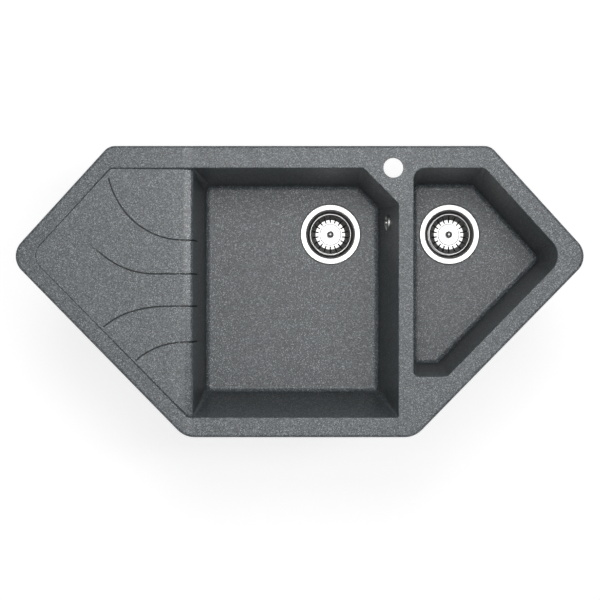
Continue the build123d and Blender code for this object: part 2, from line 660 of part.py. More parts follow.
def make_waste_body(number, x, has_port):
    bore_r = BODY_R - BODY_WALL
    with BuildPart() as waste_body:
        add(turned(
            (
                (bore_r, BODY_TOP),
                (BODY_FLANGE_R, BODY_TOP),
                (BODY_FLANGE_R, BODY_TOP - BODY_FLANGE_T),
                (BODY_R, BODY_TOP - BODY_FLANGE_T),
                (BODY_R, -BODY_DEPTH),
                (STUB_R, STUB_TOP - BODY_WALL),
                (STUB_R, STUB_END),
                (STUB_BORE_R, STUB_END),
                (STUB_BORE_R, STUB_TOP),
                (bore_r, -BODY_DEPTH + BODY_WALL),
            ), x, WASTE_Y, FLOOR_Z))
        with BuildSketch(Plane.XY.offset(FLOOR_Z - BOSS_TOP - BOSS_LENGTH)):
            with Locations((x, WASTE_Y)):
                with PolarLocations(0, 4):
                    with Locations((BODY_R / 2.0, 0)):
                        Rectangle(BODY_R - 2.0, SPOKE_T)
        extrude(amount=BOSS_LENGTH - 4.0)
        add(turned(
            (
                (STUB_R, -BODY_DEPTH - CONE_DEPTH - BODY_WALL),
                (BODY_R, -BODY_DEPTH),
                (BODY_R + 1.0, -BODY_DEPTH),
                (BODY_R + 1.0, STUB_END),
                (STUB_R, STUB_END),
            ), x, WASTE_Y, FLOOR_Z), mode=Mode.SUBTRACT)
        with BuildSketch(Plane.XY.offset(FLOOR_Z - BOSS_TOP)):
            with Locations((x, WASTE_Y)):
                Circle(BOSS_R)
        extrude(amount=-BOSS_LENGTH)
        if has_port:
            port_plane = Plane(origin=(x, WASTE_Y, FLOOR_Z - PORT_DROP), z_dir=PORT_DIRECTION)
            with BuildSketch(port_plane.offset(bore_r + 1.0)):
                Circle(OVERFLOW_PIPE_R)
            extrude(amount=PORT_REACH - bore_r - 1.0)
            with BuildSketch(port_plane.offset(BOSS_R + PORT_CLEAR)):
                Circle(OVERFLOW_PIPE_R - OVERFLOW_PIPE_WALL)
            extrude(amount=PORT_REACH, mode=Mode.SUBTRACT)
        with BuildSketch(Plane.XY.offset(FLOOR_Z - BOSS_TOP)):
            with Locations((x, WASTE_Y)):
                Circle(SCREW_R + FIT)
        extrude(amount=-BOSS_LENGTH, mode=Mode.SUBTRACT)
    finish(waste_body.part, f"waste_body_{number}")


def make_clamp_screw(number, x):
    with BuildPart() as clamp_screw:
        with BuildSketch(Plane.XY.offset(FLOOR_Z - CUP_DEPTH)):
            with Locations((x, WASTE_Y)):
                Circle(SCREW_HEAD_R)
        extrude(amount=SCREW_HEAD_T)
        fillet(clamp_screw.edges().group_by(Axis.Z)[-1], SCREW_HEAD_T / 2.0)
        with BuildSketch(Plane.XY.offset(FLOOR_Z - CUP_DEPTH)):
            with Locations((x, WASTE_Y)):
                Circle(SCREW_R)
        extrude(amount=-SCREW_LENGTH)
        with BuildSketch(Plane.XY.offset(FLOOR_Z - CUP_DEPTH + SCREW_HEAD_T)):
            with Locations((x, WASTE_Y)):
                Rectangle(1.6 * SCREW_HEAD_R, SHEET)
        extrude(amount=-SCREW_HEAD_T / 2.0, mode=Mode.SUBTRACT)
    finish(clamp_screw.part, f"clamp_screw_{number}")


def make_basket(number, x):
    rim_top = -BASKET_RIM_DROP
    with BuildPart() as basket:
        with BuildSketch(side_plane(x, WASTE_Y, FLOOR_Z)) as profile:
            with BuildLine():
                Polyline(
                    (BASKET_RIM_R, rim_top - 1.8),
                    (BASKET_RIM_R, rim_top),
                    (BASKET_RIM_R - 1.6, rim_top),
                    (SLOT_OUTER_R + 0.6, rim_top - 1.8),
                    (BASKET_BASE_R, BASE_TOP),
                    (STEM_R + FIT, BASE_TOP),
                    (STEM_R + FIT, BASE_UNDER),
                    (BASKET_BASE_R + 0.4, BASE_UNDER),
                    (SLOT_OUTER_R + 1.6, rim_top - 2.8),
                    close=True,
                )
            make_face()
            rim_bead = profile.vertices().filter_by(lambda v: v.Y > rim_top - 0.1)
            fillet(rim_bead, 0.7)
        revolve(axis=Axis((x, WASTE_Y, FLOOR_Z), (0, 0, 1)))
        with BuildSketch(Plane.XY.offset(FLOOR_Z + BASE_UNDER - 1.0)):
            with Locations((x, WASTE_Y)):
                with PolarLocations((SLOT_INNER_R + SLOT_OUTER_R) / 2.0, SLOTS, start_angle=90.0):
                    SlotOverall(SLOT_OUTER_R - SLOT_INNER_R, SLOT_W)
        extrude(amount=BASKET_BASE_DROP - BASKET_RIM_DROP - 0.5, mode=Mode.SUBTRACT)
    finish(basket.part, f"basket_{number}")


def make_basket_cap(number, x):
    with BuildPart() as basket_cap:
        with BuildSketch(Plane.XY.offset(FLOOR_Z + BASE_TOP)):
            with Locations((x, WASTE_Y)):
                Circle(CAP_R)
                Circle(STEM_R + FIT, mode=Mode.SUBTRACT)
        extrude(amount=CAP_T)
        fillet(basket_cap.edges().group_by(Axis.Z)[-1].sort_by(SortBy.RADIUS)[-1], CAP_T * 0.6)
    finish(basket_cap.part, f"basket_cap_{number}")


def make_basket_knob(number, x):
    knob_z = BASE_TOP + KNOB_RISE
    collar_top = BASE_TOP + CAP_T + 1.2
    with BuildPart() as basket_knob:
        with BuildSketch(Plane.XY.offset(FLOOR_Z + NUT_TOP - BASKET_NUT_T)):
            with Locations((x, WASTE_Y)):
                Circle(STEM_R)
        extrude(amount=knob_z - NUT_TOP + BASKET_NUT_T)
        with BuildSketch(Plane.XY.offset(FLOOR_Z + BASE_TOP + CAP_T)):
            with Locations((x, WASTE_Y)):
                Circle(STEM_R + 1.6)
        extrude(amount=collar_top - BASE_TOP - CAP_T)
        with Locations((x, WASTE_Y, FLOOR_Z + knob_z)):
            Sphere(KNOB_R)
    finish(basket_knob.part, f"basket_knob_{number}")


def make_basket_stopper(number, x):
    stopper = turned(
        (
            (STEM_R + FIT, BASE_UNDER),
            (STOPPER_TOP_R, BASE_UNDER),
            (STOPPER_TOP_R + 1.5, BASE_UNDER - 3.0),
            (STOPPER_R, STOPPER_FOOT + STOPPER_LIP_T),
            (STOPPER_R, STOPPER_FOOT),
            (STOPPER_R - 3.0, STOPPER_FOOT),
            (STOPPER_TOP_R - 2.0, NUT_TOP),
            (STEM_R + FIT, NUT_TOP),
        ), x, WASTE_Y, FLOOR_Z)
    finish(stopper, f"basket_stopper_{number}")


def make_basket_nut(number, x):
    with BuildPart() as basket_nut:
        with BuildSketch(Plane.XY.offset(FLOOR_Z + NUT_TOP)):
            with Locations((x, WASTE_Y)):
                RegularPolygon(BASKET_NUT_R, 6)
                Circle(STEM_R + FIT, mode=Mode.SUBTRACT)
        extrude(amount=-BASKET_NUT_T)
    finish(basket_nut.part, f"basket_nut_{number}")


for waste_number, waste_x in WASTES:
    make_flange_seal(waste_number, waste_x)
    make_strainer_cup(waste_number, waste_x)
    make_body_gasket(waste_number, waste_x)
    make_waste_body(waste_number, waste_x, waste_number == 1)
    make_clamp_screw(waste_number, waste_x)
    make_basket(waste_number, waste_x)
    make_basket_cap(waste_number, waste_x)
    make_basket_knob(waste_number, waste_x)
    make_basket_stopper(waste_number, waste_x)
    make_basket_nut(waste_number, waste_x)

# ---------------------------------------------------------------- overflow
BODY_FACE = WALL_ACROSS + OVERFLOW_SEAL_T          # distance from the bowl's inner face to the overflow body
BODY_BACK = BODY_FACE + OVERFLOW_BODY_T
SPIGOT_END_Z = OVERFLOW_Z - OVERFLOW_SPIGOT

with BuildPart() as overflow_cover:
    with BuildSketch(overflow_plane):
        Circle(COVER_R)
    extrude(amount=-COVER_T)
    fillet(overflow_cover.edges().sort_by(Axis.X)[0], COVER_T * 0.7)
    with BuildSketch(overflow_plane.offset(-COVER_T)):
        Circle(OVERFLOW_SCREW_R + FIT)
        with PolarLocations(COVER_R * 0.55, COVER_SLOTS):
            SlotOverall(COVER_R * 0.42, 2.2)
    extrude(amount=COVER_T, mode=Mode.SUBTRACT)
finish(overflow_cover.part, "overflow_cover")

with BuildPart() as overflow_screw:
    with BuildSketch(overflow_plane.offset(-COVER_T)):
        Circle(2.0 * OVERFLOW_SCREW_R)
    extrude(amount=-OVERFLOW_SCREW_R)
    fillet(overflow_screw.edges().sort_by(Axis.X)[0], OVERFLOW_SCREW_R * 0.6)
    with BuildSketch(overflow_plane.offset(-COVER_T)):
        Circle(OVERFLOW_SCREW_R)
    extrude(amount=COVER_T + BODY_BACK - OVERFLOW_WALL - 1.0)
finish(overflow_screw.part, "overflow_screw")

with BuildPart() as overflow_seal:
    with BuildSketch(overflow_plane.offset(WALL_ACROSS)):
        Circle(OVERFLOW_BODY_R)
        Circle(OVERFLOW_HOLE_R, mode=Mode.SUBTRACT)
    extrude(amount=OVERFLOW_SEAL_T)
finish(overflow_seal.part, "overflow_seal")

with BuildPart() as overflow_body:
    with BuildSketch(overflow_plane.offset(BODY_FACE)):
        Circle(OVERFLOW_BODY_R)
    extrude(amount=OVERFLOW_BODY_T)
    fillet(overflow_body.edges().sort_by(Axis.X)[-1], OVERFLOW_WALL)
    with BuildSketch(Plane.XY.offset(SPIGOT_END_Z)):
        with Locations((OVERFLOW_AXIS_X, OVERFLOW_Y)):
            Circle(OVERFLOW_PIPE_R)
    extrude(amount=OVERFLOW_SPIGOT)
    with BuildSketch(Plane.XY.offset(SPIGOT_END_Z)):
        with Locations((OVERFLOW_AXIS_X, OVERFLOW_Y)):
            Circle(OVERFLOW_PIPE_R - OVERFLOW_PIPE_WALL)
    extrude(amount=OVERFLOW_SPIGOT, mode=Mode.SUBTRACT)
    with BuildSketch(overflow_plane.offset(BODY_FACE)):
        Circle(OVERFLOW_BODY_R - OVERFLOW_WALL)
    extrude(amount=OVERFLOW_BODY_T - OVERFLOW_WALL, mode=Mode.SUBTRACT)
    with BuildSketch(overflow_plane.offset(BODY_FACE + OVERFLOW_WALL)):
        Circle(2.0 * OVERFLOW_SCREW_R)
        Rectangle(2.0 * (OVERFLOW_BODY_R - OVERFLOW_WALL / 2.0), OVERFLOW_SCREW_R)
    extrude(amount=OVERFLOW_BODY_T - 2.0 * OVERFLOW_WALL)
    with BuildSketch(overflow_plane.offset(BODY_FACE)):
        Circle(OVERFLOW_SCREW_R + FIT)
    extrude(amount=OVERFLOW_BODY_T - OVERFLOW_WALL, mode=Mode.SUBTRACT)
finish(overflow_body.part, "overflow_body")

PORT_Z = FLOOR_Z - PORT_DROP
PORT_SPAN = hypot(PORT_DIRECTION[0], PORT_DIRECTION[1])
PORT_END = tuple(
    (WASTE_1_X, WASTE_Y, PORT_Z)[i] + PORT_DIRECTION[i] * PORT_REACH / PORT_SPAN for i in range(3))
with BuildPart() as overflow_pipe:
    with BuildLine() as pipe_path:
        FilletPolyline(
            (OVERFLOW_AXIS_X, OVERFLOW_Y, SPIGOT_END_Z),
            (OVERFLOW_AXIS_X, OVERFLOW_Y, PORT_Z),
            PORT_END,
            radius=OVERFLOW_BEND_R,
        )
    with BuildSketch(Plane.XY.offset(SPIGOT_END_Z)):
        with Locations((OVERFLOW_AXIS_X, OVERFLOW_Y)):
            Circle(OVERFLOW_PIPE_R)
            Circle(OVERFLOW_PIPE_R - OVERFLOW_PIPE_WALL, mode=Mode.SUBTRACT)
    sweep(path=pipe_path.line)
finish(overflow_pipe.part, "overflow_pipe")

OVERFLOW_NUT_LENGTH = 18.0
OVERFLOW_NUT_R = OVERFLOW_PIPE_R + 3.5
OVERFLOW_NUT_RIBS = 8


def make_overflow_nut(name, plane):
    """A sleeve nut centred on the joint between two pipe ends."""
    with BuildPart() as overflow_nut:
        with BuildSketch(plane.offset(-OVERFLOW_NUT_LENGTH / 2.0)):
            Circle(OVERFLOW_NUT_R)
            with PolarLocations(OVERFLOW_NUT_R, OVERFLOW_NUT_RIBS):
                Circle(1.2)
            Circle(OVERFLOW_PIPE_R + FIT, mode=Mode.SUBTRACT)
        extrude(amount=OVERFLOW_NUT_LENGTH)
    finish(overflow_nut.part, name)


make_overflow_nut("overflow_nut_upper", Plane(origin=(OVERFLOW_AXIS_X, OVERFLOW_Y, SPIGOT_END_Z)))
make_overflow_nut("overflow_nut_lower", Plane(origin=PORT_END, z_dir=PORT_DIRECTION))

# ---------------------------------------------------------------- pipework
STUB_END_Z = FLOOR_Z + STUB_END
COLLAR_TOP_Z = STUB_END_Z - WASHER_T
BRANCH_Z = COLLAR_TOP_Z - BRANCH_DROP
TEE_END_Z = BRANCH_Z - TEE_TAIL
BRANCH_END_X = WASTE_1_X + BRANCH_REACH
PIPE_BORE_R = PIPE_R - PIPE_WALL


def make_washer(name, plane, outer_r, inner_r, thickness):
    with BuildPart() as washer:
        with BuildSketch(plane):
            Circle(outer_r)
            Circle(inner_r, mode=Mode.SUBTRACT)
        extrude(amount=thickness)
    finish(washer.part, name)


def make_pipe_nut(name, plane):
    """A union nut: its plane is the outer face of its lip and points at the threaded end it holds."""
    with BuildPart() as pipe_nut:
        with BuildSketch(plane):
            Circle(NUT_R)
            with PolarLocations(NUT_R, NUT_RIBS):
                Circle(2.0)
        extrude(amount=NUT_LENGTH)
        with BuildSketch(plane):
            Circle(PIPE_R + LOOSE)
        extrude(amount=NUT_LIP, mode=Mode.SUBTRACT)
        with BuildSketch(plane.offset(NUT_LIP)):
            Circle(SOCKET_R + FIT)
        extrude(amount=NUT_LENGTH - NUT_LIP, mode=Mode.SUBTRACT)
    finish(pipe_nut.part, name)


# Unions under the wastes: washer, then a collar held up by the nut's lip
for waste_number, waste_x in WASTES:
    make_washer(
        f"tail_washer_{waste_number}", Plane(origin=(waste_x, WASTE_Y, COLLAR_TOP_Z)),
        COLLAR_R, STUB_BORE_R, WASHER_T)
    make_pipe_nut(
        f"tail_nut_{waste_number}", Plane(origin=(waste_x, WASTE_Y, COLLAR_TOP_Z - COLLAR_T - NUT_LIP)))

with BuildPart() as tee:
    with BuildSketch(Plane.XY.offset(COLLAR_TOP_Z)):
        with Locations((WASTE_1_X, WASTE_Y)):
            Circle(COLLAR_R)
    extrude(amount=-COLLAR_T)
    with BuildSketch(Plane.XY.offset(COLLAR_TOP_Z)):
        with Locations((WASTE_1_X, WASTE_Y)):
            Circle(PIPE_R)
    extrude(amount=TEE_END_Z - COLLAR_TOP_Z)
    branch_plane = Plane(origin=(WASTE_1_X, WASTE_Y, BRANCH_Z), x_dir=(0, 1, 0), z_dir=(1, 0, 0))
    with BuildSketch(branch_plane):
        Circle(PIPE_R)
    extrude(amount=BRANCH_REACH)
    with BuildSketch(branch_plane.offset(BRANCH_REACH - SOCKET_DEPTH)):
        Circle(SOCKET_R)
    extrude(amount=SOCKET_DEPTH)
    with BuildSketch(Plane.XY.offset(COLLAR_TOP_Z)):
        with Locations((WASTE_1_X, WASTE_Y)):
            Circle(PIPE_BORE_R)
    extrude(amount=TEE_END_Z - COLLAR_TOP_Z, mode=Mode.SUBTRACT)
    with BuildSketch(branch_plane):
        Circle(PIPE_BORE_R)
    extrude(amount=BRANCH_REACH, mode=Mode.SUBTRACT)
    with BuildSketch(branch_plane.offset(BRANCH_REACH - SOCKET_DEPTH + PIPE_WALL)):
        Circle(PIPE_R + FIT)
    extrude(amount=SOCKET_DEPTH, mode=Mode.SUBTRACT)
finish(tee.part, "tee")

# Elbow from the second waste, in one piece with its long leg into the tee
LINK_INSERT = SOCKET_DEPTH - PIPE_WALL - LOOSE
with BuildPart() as link_elbow:
    with BuildLine() as link_path:
        FilletPolyline(
            (WASTE_2_X, WASTE_Y, COLLAR_TOP_Z),
            (WASTE_2_X, WASTE_Y, BRANCH_Z),
            (BRANCH_END_X - LINK_INSERT, WASTE_Y, BRANCH_Z),
            radius=LINK_BEND_R,
        )
    with BuildSketch(Plane.XY.offset(COLLAR_TOP_Z)):
        with Locations((WASTE_2_X, WASTE_Y)):
            Circle(PIPE_R)
            Circle(PIPE_BORE_R, mode=Mode.SUBTRACT)
    sweep(path=link_path.line)
    with BuildSketch(Plane.XY.offset(COLLAR_TOP_Z)):
        with Locations((WASTE_2_X, WASTE_Y)):
            Circle(COLLAR_R)
            Circle(PIPE_BORE_R, mode=Mode.SUBTRACT)
    extrude(amount=-COLLAR_T)
finish(link_elbow.part, "link_elbow")

# A pipe in a socket: a washer on the socket's end face, under the lip of the nut
link_face = Plane(origin=(BRANCH_END_X, WASTE_Y, BRANCH_Z), x_dir=(0, 1, 0), z_dir=(1, 0, 0))
make_washer("link_washer", link_face, COLLAR_R, PIPE_R + FIT, WASHER_T)
make_pipe_nut("link_nut", Plane(
    origin=(BRANCH_END_X + WASHER_T + NUT_LIP, WASTE_Y, BRANCH_Z), x_dir=(0, 1, 0), z_dir=(-1, 0, 0)))

# ---------------------------------------------------------------- bottle trap
TRAP_TOP_Z = TEE_END_Z + SOCKET_DEPTH - PIPE_WALL - LOOSE
TRAP_SHOULDER_Z = TRAP_TOP_Z - TRAP_NECK
TRAP_FOOT_Z = TRAP_SHOULDER_Z - TRAP_LENGTH
OUTLET_Z = TRAP_SHOULDER_Z - TRAP_OUTLET_DROP
OUTLET_SOCKET_Y = WASTE_Y + TRAP_OUTLET_REACH
DIP_GAP = 20.0               # open end of the dip tube above the trap's open foot

outlet_plane = Plane(origin=(WASTE_1_X, WASTE_Y, OUTLET_Z), x_dir=(1, 0, 0), z_dir=(0, 1, 0))
with BuildPart() as trap_body:
    add(turned(
        (
            (PIPE_R + FIT, TRAP_TOP_Z),
            (SOCKET_R, TRAP_TOP_Z),
            (SOCKET_R, TRAP_SHOULDER_Z),
            (TRAP_R - 3.0, TRAP_SHOULDER_Z),
            (TRAP_R, TRAP_SHOULDER_Z - 3.0),
            (TRAP_R, TRAP_FOOT_Z),
            (TRAP_R - TRAP_WALL, TRAP_FOOT_Z),
            (TRAP_R - TRAP_WALL, TRAP_SHOULDER_Z - TRAP_WALL),
            (PIPE_R, TRAP_SHOULDER_Z - TRAP_WALL),
            (PIPE_R, TRAP_FOOT_Z + DIP_GAP),
            (PIPE_BORE_R, TRAP_FOOT_Z + DIP_GAP),
            (PIPE_BORE_R, TRAP_TOP_Z - SOCKET_DEPTH),
            (PIPE_R + FIT, TRAP_TOP_Z - SOCKET_DEPTH),
        ), WASTE_1_X, WASTE_Y, 0.0))
    with BuildSketch(outlet_plane.offset(TRAP_R - TRAP_WALL / 2.0)):
        Circle(SOCKET_R)
    extrude(amount=TRAP_OUTLET_REACH - TRAP_R + TRAP_WALL / 2.0)
    with BuildSketch(outlet_plane.offset(TRAP_R - 2.0 * TRAP_WALL)):
        Circle(PIPE_BORE_R)
    extrude(amount=TRAP_OUTLET_REACH, mode=Mode.SUBTRACT)
    with BuildSketch(outlet_plane.offset(TRAP_OUTLET_REACH - SOCKET_DEPTH)):
        Circle(PIPE_R + FIT)
    extrude(amount=SOCKET_DEPTH, mode=Mode.SUBTRACT)
finish(trap_body.part, "trap_body")

make_washer(
    "trap_washer", Plane(origin=(WASTE_1_X, WASTE_Y, TRAP_TOP_Z)), COLLAR_R, PIPE_R + FIT, WASHER_T)
make_pipe_nut("trap_nut", Plane(
    origin=(WASTE_1_X, WASTE_Y, TRAP_TOP_Z + WASHER_T + NUT_LIP), z_dir=(0, 0, -1)))

# Cup that screws on from below, sealed against the body's foot
CUP_TOP_Z = TRAP_FOOT_Z + TRAP_CUP_OVERLAP
CUP_SEAT_Z = TRAP_FOOT_Z - TRAP_SEAL_T
CUP_BASE_Z = CUP_TOP_Z - TRAP_CUP_LENGTH
CUP_RIBS = 16
with BuildPart() as trap_cup:
    with BuildSketch(Plane.XY.offset(CUP_BASE_Z)):
        with Locations((WASTE_1_X, WASTE_Y)):
            Circle(TRAP_CUP_R)
            with PolarLocations(TRAP_CUP_R, CUP_RIBS):
                Circle(2.0)
    extrude(amount=TRAP_CUP_LENGTH)
    with BuildSketch(Plane.XY.offset(CUP_SEAT_Z)):
        with Locations((WASTE_1_X, WASTE_Y)):
            Circle(TRAP_R + FIT)
    extrude(amount=TRAP_CUP_LENGTH, mode=Mode.SUBTRACT)
    with BuildSketch(Plane.XY.offset(CUP_BASE_Z + TRAP_WALL)):
        with Locations((WASTE_1_X, WASTE_Y)):
            Circle(TRAP_R - TRAP_WALL)
    extrude(amount=TRAP_CUP_LENGTH, mode=Mode.SUBTRACT)
finish(trap_cup.part, "trap_cup")

make_washer(
    "trap_cup_seal", Plane(origin=(WASTE_1_X, WASTE_Y, CUP_SEAT_Z)), TRAP_R, TRAP_R - TRAP_WALL, TRAP_SEAL_T)

with BuildPart() as outlet_pipe:
    with BuildSketch(outlet_plane.offset(TRAP_OUTLET_REACH - LINK_INSERT)):
        Circle(PIPE_R)
    extrude(amount=OUTLET_END_Y - OUTLET_SOCKET_Y + LINK_INSERT)
    with BuildSketch(outlet_plane.offset(TRAP_OUTLET_REACH + WASHER_T + NUT_LIP + LOOSE)):
        Circle(OUTLET_BEAD_R)
    extrude(amount=OUTLET_BEAD_T)
    with BuildSketch(outlet_plane.offset(TRAP_OUTLET_REACH - LINK_INSERT)):
        Circle(PIPE_BORE_R)
    extrude(amount=OUTLET_END_Y - OUTLET_SOCKET_Y + LINK_INSERT, mode=Mode.SUBTRACT)
finish(outlet_pipe.part, "outlet_pipe")

outlet_face = Plane(origin=(WASTE_1_X, OUTLET_SOCKET_Y, OUTLET_Z), x_dir=(1, 0, 0), z_dir=(0, 1, 0))
make_washer("outlet_washer", outlet_face, COLLAR_R, PIPE_R + FIT, WASHER_T)
make_pipe_nut("outlet_nut", Plane(
    origin=(WASTE_1_X, OUTLET_SOCKET_Y + WASHER_T + NUT_LIP, OUTLET_Z), x_dir=(1, 0, 0), z_dir=(0, -1, 0)))
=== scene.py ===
"""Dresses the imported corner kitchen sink: finishes, studio and camera, all in metres."""

from __future__ import annotations

import logging
import math
from collections.abc import Iterable, Mapping
from dataclasses import dataclass
from enum import Enum
from typing import Any

import bmesh
import bpy
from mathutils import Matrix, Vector


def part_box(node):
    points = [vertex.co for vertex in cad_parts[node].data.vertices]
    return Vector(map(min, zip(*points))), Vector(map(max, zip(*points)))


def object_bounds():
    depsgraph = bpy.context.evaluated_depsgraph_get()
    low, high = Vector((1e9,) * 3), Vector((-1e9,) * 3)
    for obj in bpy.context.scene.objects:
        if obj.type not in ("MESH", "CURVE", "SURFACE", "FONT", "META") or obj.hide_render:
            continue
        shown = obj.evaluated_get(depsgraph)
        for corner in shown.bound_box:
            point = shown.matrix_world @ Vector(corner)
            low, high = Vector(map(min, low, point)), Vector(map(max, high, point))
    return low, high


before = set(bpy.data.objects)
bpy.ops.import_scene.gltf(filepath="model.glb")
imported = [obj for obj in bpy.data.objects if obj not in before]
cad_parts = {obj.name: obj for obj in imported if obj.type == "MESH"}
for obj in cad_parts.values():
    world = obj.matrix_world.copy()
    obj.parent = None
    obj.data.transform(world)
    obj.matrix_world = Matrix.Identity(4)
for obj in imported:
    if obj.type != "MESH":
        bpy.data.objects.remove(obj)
CAD_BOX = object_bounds()

Colour = tuple[float, float, float]
LOG = logging.getLogger("corner_sink")


class Slot(Enum):
    """The record's material slots."""

    GRANITE = "granite"
    POLISHED_STEEL = "polished_steel"
    ZINC_STEEL = "zinc_steel"
    BRASS = "brass"
    BLACK_RUBBER = "black_rubber"
    SEAL_FOAM = "seal_foam"
    WHITE_PLASTIC = "white_plastic"
    GREY_PLASTIC = "grey_plastic"


# ------------------------------------------------------------------ shader sums


class Signal:
    """A shader socket that takes Python arithmetic."""

    def __init__(self, recipe: Recipe, socket: bpy.types.NodeSocket) -> None:
        """Wraps an output socket.

        Args:
            recipe: The node tree that the socket belongs to.
            socket: The output socket.
        """
        self.recipe = recipe
        self.socket = socket

    def _sum(self, operation: str, first: Any, second: Any) -> Signal:
        """Adds a Math node.

        Args:
            operation: The node's operation.
            first: Its first value or signal.
            second: Its second value or signal.

        Returns:
            The node's result.
        """
        node = self.recipe.make("ShaderNodeMath", {"operation": operation}, {0: first, 1: second})
        return Signal(self.recipe, node.outputs[0])

    def __add__(self, other: Any) -> Signal:
        """Self plus other."""
        return self._sum("ADD", self, other)

    def __radd__(self, other: Any) -> Signal:
        """Other plus self."""
        return self._sum("ADD", other, self)

    def __sub__(self, other: Any) -> Signal:
        """Self minus other."""
        return self._sum("SUBTRACT", self, other)

    def __rsub__(self, other: Any) -> Signal:
        """Other minus self."""
        return self._sum("SUBTRACT", other, self)

    def __mul__(self, other: Any) -> Signal:
        """Self times other."""
        return self._sum("MULTIPLY", self, other)

    def __rmul__(self, other: Any) -> Signal:
        """Other times self."""
        return self._sum("MULTIPLY", other, self)

    def __truediv__(self, other: Any) -> Signal:
        """Self over other."""
        return self._sum("DIVIDE", self, other)

    def above(self, level: Any) -> Signal:
        """1 where self is above level, else 0."""
        return self._sum("GREATER_THAN", self, level)

    def below(self, level: Any) -> Signal:
        """1 where self is below level, else 0."""
        return self._sum("LESS_THAN", self, level)


class Recipe:
    """The node tree that one finish is cooked from."""

    def __init__(self, name: str, tree: bpy.types.NodeTree | None = None) -> None:
        """Starts a material, or takes over another tree such as the world's.

        Args:
            name: The material's name.
            tree: The tree to take over instead of a new material's.
        """
        self.material = None
        if tree is None:
            self.material = bpy.data.materials.new(name)
            self.material.use_nodes = True
            tree = self.material.node_tree
        self.tree = tree
        self.tree.nodes.clear()

    def make(
        self,
        kind: str,
        settings: Mapping[str, Any] | None = None,
        inputs: Mapping[str | int, Any] | None = None,
    ) -> bpy.types.Node:
        """Adds any node.

        Args:
            kind: The node's type.
            settings: What is set on the node first.
            inputs: Values or signals for its sockets, by name or index.

        Returns:
            The new node.
        """
        node = self.tree.nodes.new(kind)
        for name, value in (settings or {}).items():
            setattr(node, name, value)
        for name, value in (inputs or {}).items():
            socket = node.inputs[name]
            if isinstance(value, Signal):
                self.tree.links.new(value.socket, socket)
            elif isinstance(value, tuple) and len(value) == 3 and socket.type == "RGBA":
                socket.default_value = (*value, 1.0)
            else:
                socket.default_value = value
        return node

    def place(self) -> Signal:
        """The place on the object, in metres."""
        return Signal(self, self.make("ShaderNodeTexCoord").outputs["Object"])

    def mapped(self, at: Signal, centre: Colour = (0, 0, 0), stretch: Colour = (1, 1, 1)) -> Signal:
        """Centres and stretches a pattern.

        Args:
            at: The place.
            centre: The point that becomes the origin, in metres.
            stretch: The factors along the three axes.

        Returns:
            The new place.
        """
        moved = tuple(-c * s for c, s in zip(centre, stretch))
        node = self.make(
            "ShaderNodeMapping",
            {"vector_type": "POINT"},
            {"Vector": at, "Location": moved, "Scale": stretch},
        )
        return Signal(self, node.outputs["Vector"])

    def noise(self, at: Signal, scale: float, detail: float = 2.0, roughness: float = 0.5) -> Signal:
        """Soft noise.

        Args:
            at: The place.
            scale: Blotches per metre.
            detail: Octaves of finer noise.
            roughness: How strong the finer noise is.

        Returns:
            The noise, about 0.5.
        """
        node = self.make(
            "ShaderNodeTexNoise",
            {"noise_dimensions": "3D"},
            {"Vector": at, "Scale": scale, "Detail": detail, "Roughness": roughness},
        )
        return Signal(self, node.outputs["Fac"])

    def grains(self, at: Signal, scale: float) -> tuple[Signal, Signal]:
        """Packed grains.

        Args:
            at: The place.
            scale: Grains per metre.

        Returns:
            The distance from each grain's middle, and a number that is each grain's own.
        """
        node = self.make(
            "ShaderNodeTexVoronoi",
            {"voronoi_dimensions": "3D", "feature": "F1"},
            {"Vector": at, "Scale": scale, "Randomness": 1.0},
        )
        own = self.make("ShaderNodeSeparateColor", None, {"Color": Signal(self, node.outputs["Color"])})
        return Signal(self, node.outputs["Distance"]), Signal(self, own.outputs["Red"])

    def spread(self, value: Signal, low: float, high: float, to: tuple[float, float] = (0.0, 1.0)) -> Signal:
        """A value's range carried smoothly to another.

        Args:
            value: The value.
            low: Where the range starts.
            high: Where it ends.
            to: What these two become.

        Returns:
            The new value.
        """
        node = self.make(
            "ShaderNodeMapRange",
            {"interpolation_type": "SMOOTHSTEP"},
            {"Value": value, "From Min": low, "From Max": high, "To Min": to[0], "To Max": to[1]},
        )
        return Signal(self, node.outputs["Result"])

    def blend(self, mask: Signal, first: Signal | Colour, second: Signal | Colour) -> Signal:
        """Two colours mixed by a mask.

        Args:
            mask: 0 shows the first and 1 the second.
            first: A colour.
            second: A colour.

        Returns:
            The mixed colour.
        """
        node = self.make("ShaderNodeMix", {"data_type": "RGBA"}, {0: mask, 6: first, 7: second})
        return Signal(self, node.outputs[2])

    def tinted(self, colour: Signal | Colour, shade: Signal) -> Signal:
        """A colour times a shade.

        Args:
            colour: The colour.
            shade: A number near 1.

        Returns:
            The product.
        """
        grey = self.make("ShaderNodeCombineColor", None, {"Red": shade, "Green": shade, "Blue": shade})
        node = self.make(
            "ShaderNodeMix",
            {"data_type": "RGBA", "blend_type": "MULTIPLY"},
            {0: 1.0, 6: colour, 7: Signal(self, grey.outputs["Color"])},
        )
        return Signal(self, node.outputs[2])

    def lesser(self, first: Signal, second: Signal, rounding: float = 0.0) -> Signal:
        """The smaller of two numbers.

        Args:
            first: A number.
            second: A number.
            rounding: How far apart they are where the change from one to the other starts.

        Returns:
            The smaller, less a little where the two are close.
        """
        node = self.make(
            "ShaderNodeMath", {"operation": "SMOOTH_MIN"}, {0: first, 1: second, 2: rounding}
        )
        return Signal(self, node.outputs[0])

    def axes(self, at: Signal) -> tuple[Signal, Signal, Signal]:
        """The three numbers of a place."""
        node = self.make("ShaderNodeSeparateXYZ", None, {"Vector": at})
        return tuple(Signal(self, node.outputs[i]) for i in range(3))

